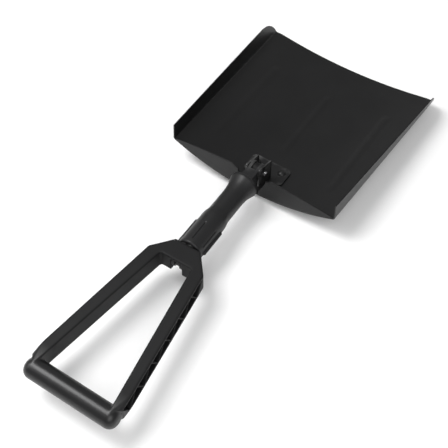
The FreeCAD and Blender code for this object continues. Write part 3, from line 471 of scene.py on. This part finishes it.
def rear_wall():
    """Upstanding rear wall: a lens between the floor and a low crest, with the neck's notch."""
    half, sag, drop = floor_shape(0.0)
    radius = (half * half + sag * sag) / (2 * sag)
    crest_radius = (half * half + WALL_CREST * WALL_CREST) / (2 * WALL_CREST)
    corner_z = NECK_HEIGHT - drop + sag
    mesh = bmesh.new()
    outer_x = half - WALL_END_TRIM
    for side in (-1, 1):
        columns = []
        for i in range(WALL_STEPS + 1):
            share = i / WALL_STEPS
            column = []
            for j in range(WALL_LAYERS + 1):
                rise = j / WALL_LAYERS
                # the notch flank leans outwards in a soft S towards the top
                inner_x = NOTCH_HALF - NOTCH_FLARE + 2 * NOTCH_FLARE * ease(rise)
                x = inner_x + (outer_x - inner_x) * share
                low = NECK_HEIGHT - drop + radius - math.sqrt(radius * radius - x * x)
                high = corner_z + WALL_CREST - crest_radius + math.sqrt(crest_radius ** 2 - x * x)
                # the top corner of the notch is rounded off
                round_off = NOTCH_CORNER_DROP * (1 - ease((x - inner_x) / NOTCH_CORNER_RUN))
                z = low + (high - round_off - low) * rise
                column.append(mesh.verts.new((side * x, BLADE_REAR + SHEET, z)))
            columns.append(column)
        for near, far in zip(columns, columns[1:]):
            for j in range(WALL_LAYERS):
                corners = (near[j], far[j], far[j + 1], near[j + 1])
                mesh.faces.new(corners if side > 0 else tuple(reversed(corners)))
    return mesh


def make_blade():
    sheet = mesh_object("pressed_blade", pressed_sheet())
    add_modifier(sheet, "SOLIDIFY", thickness=SHEET, offset=-1.0, use_even_offset=True)
    add_modifier(sheet, "BEVEL", width=SHEET_BEVEL, segments=2, limit_method="ANGLE",
                 angle_limit=BEVEL_ANGLE, harden_normals=True)
    wall = mesh_object("blade_rear_wall", rear_wall())
    add_modifier(wall, "SOLIDIFY", thickness=SHEET, offset=1.0, use_even_offset=True)
    add_modifier(wall, "BEVEL", width=WALL_BEVEL, segments=2, limit_method="ANGLE",
                 angle_limit=BEVEL_ANGLE)
    give_finish(sheet, "blade_steel")
    # The wall takes the duller copy of the blade coat: painted shade.
    give_finish(wall, "rear_wall")
    for piece in (sheet, wall):
        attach(piece, "blade")
    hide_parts("blade_pan")


# Collar: one moulded sleeve, turned about the neck axis

GRIP_R = 16.6 * MM
WAIST_R = 14.6 * MM
BELL_R = 19.3 * MM
COLLAR_BORE_FRONT = 10.65 * MM
COLLAR_BORE_BACK = 10.4 * MM
COLLAR_LIP = 5 * MM
COLLAR_MOUTH = 2 * MM
COLLAR_TURNS = 288
COLLAR_STEP = 0.6 * MM
FLUTES = 6
FLUTE_HALF = 1.3 * MM
FLUTE_DEPTH = 1.2 * MM
FLUTE_START = 7 * MM
FLUTE_LENGTH = 30 * MM
FLUTE_RUNOUT = 2 * MM
FIN_START = 3 * MM
FIN_LENGTH = 41 * MM
FIN_RUNOUT = 2.5 * MM
FIN_HALF = 1.3 * MM
FIN_EDGE = 0.4 * MM
FIN_HEIGHT = 2.75 * MM
FLUTE_SHARPNESS = 1.6
MOULDED_ZONE = GRIP_R - 2 * MM


def collar_outline():
    """(station, radius) down the outside, from the yoke's end to the bell's rim."""
    back = COLLAR_LOW.y
    front = COLLAR_HIGH.y
    grip_end = [
        (back, GRIP_R - 1.5 * MM), (back + 0.5 * MM, GRIP_R - 0.8 * MM),
        (back + 1.5 * MM, GRIP_R - 0.1 * MM), (back + 3 * MM, GRIP_R), (back + 48 * MM, GRIP_R),
    ]
    taper = [
        (back + 54 * MM, 16.4 * MM), (back + 57 * MM, 16.0 * MM), (back + 60 * MM, 15.3 * MM),
        (back + 63 * MM, 14.8 * MM), (back + 68 * MM, WAIST_R), (back + 94 * MM, WAIST_R),
    ]
    bell = [
        (back + 102 * MM, 15.0 * MM), (back + 108 * MM, 15.9 * MM), (back + 113 * MM, 17.2 * MM),
        (back + 117 * MM, 18.5 * MM), (back + 119.5 * MM, BELL_R), (front - 1.6 * MM, BELL_R),
        (front - 0.5 * MM, 18.8 * MM), (front, 17.9 * MM), (front, COLLAR_BORE_FRONT),
    ]
    return grip_end + taper + bell


def smooth_through(marks, steps):
    """Points on a smooth curve through the marks that never overshoots them."""
    points = []
    for i in range(len(marks) - 1):
        before = marks[max(i - 1, 0)]
        start, end = marks[i], marks[i + 1]
        after = marks[min(i + 2, len(marks) - 1)]
        for k in range(steps):
            t = k / steps
            row = []
            for axis in (0, 1):
                near = (end[axis] - before[axis]) / 2
                far = (after[axis] - start[axis]) / 2
                gap = end[axis] - start[axis]
                if near * gap <= 0:
                    near = 0.0
                if far * gap <= 0:
                    far = 0.0
                near = max(min(near, 2 * abs(gap)), -2 * abs(gap))
                far = max(min(far, 2 * abs(gap)), -2 * abs(gap))
                row.append((2 * t ** 3 - 3 * t ** 2 + 1) * start[axis] + (t ** 3 - 2 * t ** 2 + t) * near
                           + (3 * t ** 2 - 2 * t ** 3) * end[axis] + (t ** 3 - t ** 2) * far)
            points.append(tuple(row))
    points.append(marks[-1])
    return points


def flute_cut(station, angle):
    """Depth of the long finger grooves round the grip zone."""
    start = COLLAR_LOW.y + FLUTE_START
    end = start + FLUTE_LENGTH
    along = min((station - start) / FLUTE_RUNOUT, (end - station) / FLUTE_RUNOUT)
    if along <= 0:
        return 0.0
    period = 2 * math.pi / FLUTES
    # one flute stands at the very top
    off = (angle - math.pi / 2 + period / 2) % period - period / 2
    across = 1 - abs(off) * GRIP_R / FLUTE_HALF
    return FLUTE_DEPTH * ease(along) * ease(across * FLUTE_SHARPNESS)


def fin_rise(station, angle):
    """Height of the grip fins on the left and right of the grip zone."""
    start = COLLAR_LOW.y + FIN_START
    end = start + FIN_LENGTH
    along = min((station - start) / FIN_RUNOUT, (end - station) / FIN_RUNOUT)
    if along <= 0:
        return 0.0
    off = min(abs(angle), abs(angle - math.pi), abs(angle - 2 * math.pi))
    across = (FIN_HALF - off * GRIP_R) / FIN_EDGE
    return FIN_HEIGHT * ease(along) * ease(across)


def make_collar():
    mesh = bmesh.new()
    outline = smooth_through(collar_outline(), 6)
    fine = []
    for near, far in zip(outline, outline[1:]):
        pieces = max(1, int(abs(far[0] - near[0]) / COLLAR_STEP))
        for k in range(pieces):
            fine.append(tuple(near[i] + (far[i] - near[i]) * k / pieces for i in (0, 1)))
    fine.append(outline[-1])
    rings = []
    inside = [(COLLAR_HIGH.y - COLLAR_LIP, COLLAR_BORE_FRONT),
              (COLLAR_LOW.y + COLLAR_MOUTH, COLLAR_BORE_BACK), (COLLAR_LOW.y, COLLAR_BORE_BACK)]
    for station, radius in fine + inside:
        ring = []
        for k in range(COLLAR_TURNS):
            angle = 2 * math.pi * k / COLLAR_TURNS
            here = radius
            if radius > MOULDED_ZONE:
                here += fin_rise(station, angle) - flute_cut(station, angle)
            place = (here * math.cos(angle), station, NECK_HEIGHT + here * math.sin(angle))
            ring.append(mesh.verts.new(place))
        rings.append(ring)
    for near, far in zip(rings, rings[1:] + rings[:1]):
        for k in range(COLLAR_TURNS):
            after = (k + 1) % COLLAR_TURNS
            mesh.faces.new((near[k], near[after], far[after], far[k]))
    bmesh.ops.recalc_face_normals(mesh, faces=mesh.faces)
    collar = mesh_object("moulded_collar", mesh)
    give_finish(collar, "collar_nylon")
    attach(collar, "collar")
    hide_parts("locking_collar")


# Handle: the moulded frame with softened edges and rounded grip ends

OUTER_REAR_HALF = 62.0 * MM
SHOULDER_HALF = 39.2 * MM
SHOULDER_Y = HANDLE_PIN.y - 10.0 * MM
HANDLE_HALF = 13.3 * MM
END_ROUND = 10.5 * MM
EDGE_ROUND = 2.0 * MM
ROUND_RUN = 30 * MM
HANDLE_VOXEL = 0.8 * MM


def arm_half_width(y):
    """Outer half width of the frame at a station, on the leaning arms."""
    share = (SHOULDER_Y - y) / (SHOULDER_Y - GRIP_AXIS_Y - END_ROUND)
    return SHOULDER_HALF + (OUTER_REAR_HALF - SHOULDER_HALF) * min(max(share, 0), 1)


def rounded(place):
    """A surface point drawn in to the frame's rounded outer edges."""
    if place.y > SHOULDER_Y:
        return place
    share = ease((place.y - GRIP_AXIS_Y) / ROUND_RUN)
    radius = END_ROUND + (EDGE_ROUND - END_ROUND) * share
    side = math.copysign(1, place.x)
    level = math.copysign(1, place.z - NECK_HEIGHT)
    out = abs(place.x) - (arm_half_width(place.y) - radius)
    up = abs(place.z - NECK_HEIGHT) - (HANDLE_HALF - radius)
    reach = math.hypot(out, up)
    if out <= 0 or up <= 0 or reach <= radius:
        return place
    out, up = out * radius / reach, up * radius / reach
    return Vector((side * (arm_half_width(place.y) - radius + out), place.y,
                   NECK_HEIGHT + level * (HANDLE_HALF - radius + up)))


def make_handle():
    """The frame's own shape, rebuilt as one even mesh, rounded and smoothed."""
    shell = frame["nodes"]["d_handle"]
    copy = bpy.data.objects.new("handle_copy", shell.data.copy())
    bpy.context.scene.collection.objects.link(copy)
    add_modifier(copy, "REMESH", mode="VOXEL", voxel_size=HANDLE_VOXEL)
    bpy.context.view_layer.update()
    even = copy.evaluated_get(bpy.context.evaluated_depsgraph_get())
    mesh = bmesh.new()
    mesh.from_mesh(even.to_mesh())
    even.to_mesh_clear()
    bpy.data.objects.remove(copy)
    for vert in mesh.verts:
        vert.co = rounded(vert.co)
    handle = mesh_object("moulded_handle", mesh)
    add_modifier(handle, "SMOOTH", factor=0.5, iterations=6)
    give_finish(handle, "handle_nylon")
    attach(handle, "handle")
    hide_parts("d_handle")


# Stage, light and camera

FLOOR_HALF = 6.0
FLOOR_DROP = 0.5 * MM
FLOOR_ALBEDO = 0.93
SKY_STRENGTH = 0.42
LIGHTS = (
    # name, place, side of the square, power
    ("key", (-0.62, -0.28, 1.5), 0.7, 17.0),
    ("fill", (1.1, -1.3, 1.8), 1.8, 26.0),
    ("left fill", (-1.7, -1.0, 1.6), 1.6, 16.0),
)
VIEW_DISTANCE = 1.0958
VIEW_TARGET = Vector((0.0131, -0.0360, NECK_HEIGHT))
VIEW_TURN = math.radians(32.06)
VIEW_ELEVATION = math.radians(53.56)
VIEW_ROLL = math.radians(1.31)
LENS = 72.3


def make_camera():
    data = bpy.data.cameras.new("camera")
    data.lens = LENS
    data.sensor_width = 36.0
    data.clip_start = 0.05
    data.clip_end = 20.0
    camera = bpy.data.objects.new("camera", data)
    bpy.context.scene.collection.objects.link(camera)
    flat = math.cos(VIEW_ELEVATION)
    forward = Vector((-math.sin(VIEW_TURN) * flat, math.cos(VIEW_TURN) * flat, -math.sin(VIEW_ELEVATION)))
    level = forward.cross(Vector((0, 0, 1))).normalized()
    upright = level.cross(forward)
    right = level * math.cos(VIEW_ROLL) + upright * math.sin(VIEW_ROLL)
    up = right.cross(forward)
    turn = Matrix((right, up, -forward)).transposed()
    camera.matrix_world = Matrix.Translation(VIEW_TARGET - forward * VIEW_DISTANCE) @ turn.to_4x4()
    bpy.context.scene.camera = camera


def soft_light(name, place, size, power):
    """A square light aimed at the middle of the floor."""
    data = bpy.data.lights.new(name, "AREA")
    data.shape = "SQUARE"
    data.size = size
    data.energy = power
    light = bpy.data.objects.new(name, data)
    light.location = place
    light.rotation_mode = "QUATERNION"
    light.rotation_quaternion = (-Vector(place)).to_track_quat("-Z", "Y")
    bpy.context.scene.collection.objects.link(light)


def make_stage():
    mesh = bmesh.new()
    bmesh.ops.create_grid(mesh, x_segments=8, y_segments=8, size=FLOOR_HALF)
    floor = mesh_object("floor", mesh)
    floor.location.z = -FLOOR_DROP
    material = bpy.data.materials.new("Pale floor")
    material.use_nodes = True
    shader = material.node_tree.nodes["Principled BSDF"]
    shader.inputs["Base Color"].default_value = (FLOOR_ALBEDO, FLOOR_ALBEDO, FLOOR_ALBEDO, 1)
    shader.inputs["Roughness"].default_value = 0.9
    floor.data.materials.append(material)
    world = bpy.data.worlds.new("Studio")
    world.use_nodes = True
    world.node_tree.nodes["Background"].inputs["Color"].default_value = (1, 1, 1, 1)
    world.node_tree.nodes["Background"].inputs["Strength"].default_value = SKY_STRENGTH
    bpy.context.scene.world = world
    bpy.context.scene.view_settings.view_transform = "Standard"
    for name, place, size, power in LIGHTS:
        soft_light(name, place, size, power)


make_camera()
make_stage()
dress_frame()
make_blade()
make_collar()
make_handle()
